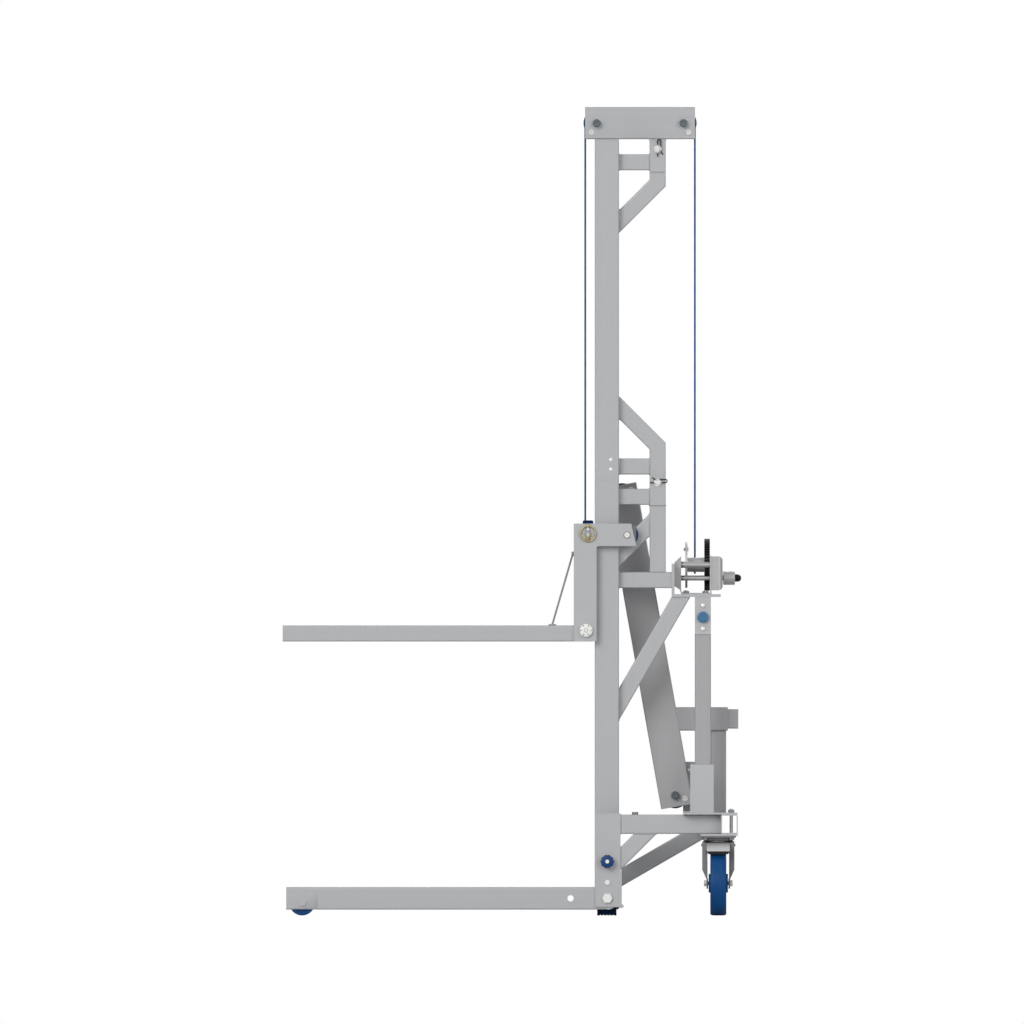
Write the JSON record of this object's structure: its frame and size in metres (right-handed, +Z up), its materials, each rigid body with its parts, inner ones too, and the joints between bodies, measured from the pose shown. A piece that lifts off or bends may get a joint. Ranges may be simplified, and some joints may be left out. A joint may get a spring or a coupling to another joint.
{
  "type": "lifting trolley",
  "caption": "Manual lifting trolley: sectioned mast, roller carriage with forks on a rope, hand winch behind, folding front legs and braked swivel casters.",
  "frame": {"origin": "on the floor below the middle of the trolley's length and width", "axes": "+X towards the operator, the forks point to -X; +Y to the side away from the camera; +Z up"},
  "size_m": [1.422, 0.91, 2.5065],
  "materials": {
    "aluminium": "satin",
    "aluminium_plate": "satin",
    "grey_metal": "satin",
    "zinc_steel": "satin",
    "blue_wheel": "satin",
    "blue_knob": "gloss",
    "rope": "matt",
    "navy_rubber": "matt",
    "black_steel": "satin",
    "brass": "polished",
    "pulley_plastic": "satin"
  },
  "bodies": {
    "frame": {"lower_rails": "aluminium", "upper_rails": "aluminium", "mast_crossbars": "aluminium", "foot_pads": "navy_rubber", "leg_brackets": "aluminium_plate", "base_frame": "aluminium", "caster_plates": "zinc_steel", "base_bolts": "zinc_steel", "leg_pivot_bolts": "zinc_steel", "lower_truss": "aluminium", "upper_truss": "aluminium", "truss_sleeves": "aluminium", "locking_pins": "zinc_steel", "winch_console": "aluminium_plate", "winch_frame": "zinc_steel", "winch_housing": "zinc_steel", "rear_posts": "grey_metal", "post_fittings": "grey_metal", "head_box": "aluminium", "head_saddles": "aluminium", "pulley_axles": "zinc_steel", "jib_support": "grey_metal", "jib_box": "aluminium", "jib_clamp": "grey_metal", "rope_rear_run": "rope", "rope_on_drum": "rope"},
    "carriage": {"carriage_plates": "aluminium_plate", "carriage_shafts": "zinc_steel", "carriage_crossbars": "aluminium_plate", "rope_anchor": "navy_rubber", "forks": "aluminium", "fork_stays": "zinc_steel", "rope_front_fall": "rope"},
    "drum": {"drum": "zinc_steel", "drum_gear": "black_steel"},
    "crank": {"crank_shaft": "black_steel"},
    "head_pulley_front": {"head_pulley_front": "pulley_plastic"},
    "head_pulley_rear": {"head_pulley_rear": "pulley_plastic"},
    "jib_pulley_top": {"jib_pulley_top": "pulley_plastic"},
    "jib_pulley_foot": {"jib_pulley_foot": "pulley_plastic"},
    "upper_roller_left": {"upper_roller_left": "blue_wheel"},
    "lower_roller_left": {"lower_roller_left": "blue_wheel"},
    "linch_ring_left": {"linch_ring_left": "brass"},
    "leg_left": {"leg_left": "aluminium"},
    "leg_roller_left": {"leg_roller_left": "blue_wheel"},
    "leg_plunger_left": {"leg_plunger_left": "blue_knob"},
    "post_knob_left": {"post_knob_left": "blue_knob"},
    "caster_fork_left": {"caster_fork_left": "zinc_steel"},
    "caster_wheel_left": {"caster_wheel_left": "blue_wheel"},
    "brake_pedal_left": {"brake_pedal_left": "zinc_steel"},
    "upper_roller_right": {"upper_roller_right": "blue_wheel"},
    "lower_roller_right": {"lower_roller_right": "blue_wheel"},
    "linch_ring_right": {"linch_ring_right": "brass"},
    "leg_right": {"leg_right": "aluminium"},
    "leg_roller_right": {"leg_roller_right": "blue_wheel"},
    "leg_plunger_right": {"leg_plunger_right": "blue_knob"},
    "post_knob_right": {"post_knob_right": "blue_knob"},
    "caster_fork_right": {"caster_fork_right": "zinc_steel"},
    "caster_wheel_right": {"caster_wheel_right": "blue_wheel"},
    "brake_pedal_right": {"brake_pedal_right": "zinc_steel"}
  },
  "joints": [
    {"name": "carriage_slide", "type": "slide", "parent": "frame", "child": "carriage", "axis": [0, 0, 1], "range_m": [-0.8, 1.05], "deforming": ["rope_front_fall"]},
    {"name": "drum_spin", "type": "hinge", "parent": "frame", "child": "drum", "pos_m": [0.57, -0.026, 1.0875], "axis": [1, 0, 0], "range_deg": [-2318.9, 1767.9]},
    {"name": "crank_spin", "type": "hinge", "parent": "frame", "child": "crank", "pos_m": [0.65, 0.06071, 1.0463], "axis": [1, 0, 0], "range_deg": [-7644.4, 10031.8]},
    {"name": "head_pulley_front_spin", "type": "hinge", "parent": "frame", "child": "head_pulley_front", "pos_m": [0.2625, 0, 2.4565], "axis": [0, 1, 0], "range_deg": [-1299.8, 1704.5]},
    {"name": "head_pulley_rear_spin", "type": "hinge", "parent": "frame", "child": "head_pulley_rear", "pos_m": [0.5315, 0, 2.4565], "axis": [0, 1, 0], "range_deg": [-1299.8, 1704.5]},
    {"name": "upper_roller_left_spin", "type": "hinge", "parent": "carriage", "child": "upper_roller_left", "pos_m": [0.3565, -0.2, 1.1796], "axis": [0, 1, 0], "range_deg": [-2411.4, 1838.5]},
    {"name": "lower_roller_left_spin", "type": "hinge", "parent": "carriage", "child": "lower_roller_left", "pos_m": [0.2295, -0.2, 0.8838], "axis": [0, 1, 0], "range_deg": [-1702.7, 2233.2]},
    {"name": "linch_ring_left_swing", "type": "hinge", "parent": "carriage", "child": "linch_ring_left", "pos_m": [0.2356, -0.2695, 1.2077], "axis": [-1, 0, 0], "range_deg": [0, 170]},
    {"name": "leg_left_fold", "type": "hinge", "parent": "frame", "child": "leg_left", "pos_m": [0.2955, -0.305, 0.0533], "axis": [0, 1, 0], "range_deg": [0, 90]},
    {"name": "leg_roller_left_spin", "type": "hinge", "parent": "leg_left", "child": "leg_roller_left", "pos_m": [-0.6507, -0.305, 0.04], "axis": [0, 1, 0], "continuous": true},
    {"name": "leg_plunger_left_slide", "type": "slide", "parent": "frame", "child": "leg_plunger_left", "axis": [0, 1, 0], "range_m": [0, 0.012]},
    {"name": "post_knob_left_slide", "type": "slide", "parent": "frame", "child": "post_knob_left", "axis": [0, -1, 0], "range_m": [0, 0.012], "stiffness_N_per_m": 300, "springref_m": -0.002},
    {"name": "caster_left_swivel", "type": "hinge", "parent": "frame", "child": "caster_fork_left", "pos_m": [0.6395, -0.305, 0.235], "axis": [0, 0, 1], "continuous": true},
    {"name": "caster_wheel_left_spin", "type": "hinge", "parent": "caster_fork_left", "child": "caster_wheel_left", "pos_m": [0.6395, -0.355, 0.1], "axis": [1, 0, 0], "continuous": true},
    {"name": "brake_pedal_left_press", "type": "hinge", "parent": "caster_fork_left", "child": "brake_pedal_left", "pos_m": [0.6395, -0.339, 0.218], "axis": [1, 0, 0], "range_deg": [0, 5], "stiffness_Nm_per_rad": 4, "springref_deg": -2.86},
    {"name": "upper_roller_right_spin", "type": "hinge", "parent": "carriage", "child": "upper_roller_right", "pos_m": [0.3565, 0.2, 1.1796], "axis": [0, 1, 0], "range_deg": [-2411.4, 1838.5]},
    {"name": "lower_roller_right_spin", "type": "hinge", "parent": "carriage", "child": "lower_roller_right", "pos_m": [0.2295, 0.2, 0.8838], "axis": [0, 1, 0], "range_deg": [-1702.7, 2233.2]},
    {"name": "linch_ring_right_swing", "type": "hinge", "parent": "carriage", "child": "linch_ring_right", "pos_m": [0.2356, 0.2695, 1.2077], "axis": [1, 0, 0], "range_deg": [0, 170]},
    {"name": "leg_right_fold", "type": "hinge", "parent": "frame", "child": "leg_right", "pos_m": [0.2955, 0.305, 0.0533], "axis": [0, 1, 0], "range_deg": [0, 90]},
    {"name": "leg_roller_right_spin", "type": "hinge", "parent": "leg_right", "child": "leg_roller_right", "pos_m": [-0.6507, 0.305, 0.04], "axis": [0, 1, 0], "continuous": true},
    {"name": "leg_plunger_right_slide", "type": "slide", "parent": "frame", "child": "leg_plunger_right", "axis": [0, -1, 0], "range_m": [0, 0.012]},
    {"name": "post_knob_right_slide", "type": "slide", "parent": "frame", "child": "post_knob_right", "axis": [0, 1, 0], "range_m": [0, 0.012], "stiffness_N_per_m": 300, "springref_m": -0.002},
    {"name": "caster_right_swivel", "type": "hinge", "parent": "frame", "child": "caster_fork_right", "pos_m": [0.6395, 0.305, 0.235], "axis": [0, 0, 1], "continuous": true},
    {"name": "caster_wheel_right_spin", "type": "hinge", "parent": "caster_fork_right", "child": "caster_wheel_right", "pos_m": [0.6395, 0.355, 0.1], "axis": [1, 0, 0], "continuous": true},
    {"name": "brake_pedal_right_press", "type": "hinge", "parent": "caster_fork_right", "child": "brake_pedal_right", "pos_m": [0.6395, 0.339, 0.218], "axis": [-1, 0, 0], "range_deg": [0, 5], "stiffness_Nm_per_rad": 4, "springref_deg": -2.86},
    {"name": "jib_pulley_top_spin", "type": "hinge", "parent": "frame", "child": "jib_pulley_top", "pos_m": [0.34216, 0, 1.29935], "axis": [0, 1, 0], "continuous": true},
    {"name": "jib_pulley_foot_spin", "type": "hinge", "parent": "frame", "child": "jib_pulley_foot", "pos_m": [0.50549, 0, 0.37304], "axis": [0, 1, 0], "continuous": true}
  ],
  "couplings": [
    {"joint": "drum_spin", "follows": "carriage_slide", "rad_per_m": -38.462},
    {"joint": "crank_spin", "follows": "carriage_slide", "rad_per_m": 166.67},
    {"joint": "head_pulley_front_spin", "follows": "carriage_slide", "rad_per_m": 28.249},
    {"joint": "head_pulley_rear_spin", "follows": "carriage_slide", "rad_per_m": 28.249},
    {"joint": "upper_roller_left_spin", "follows": "carriage_slide", "rad_per_m": -40},
    {"joint": "lower_roller_left_spin", "follows": "carriage_slide", "rad_per_m": 37.037},
    {"joint": "upper_roller_right_spin", "follows": "carriage_slide", "rad_per_m": -40},
    {"joint": "lower_roller_right_spin", "follows": "carriage_slide", "rad_per_m": 37.037}
  ]
}
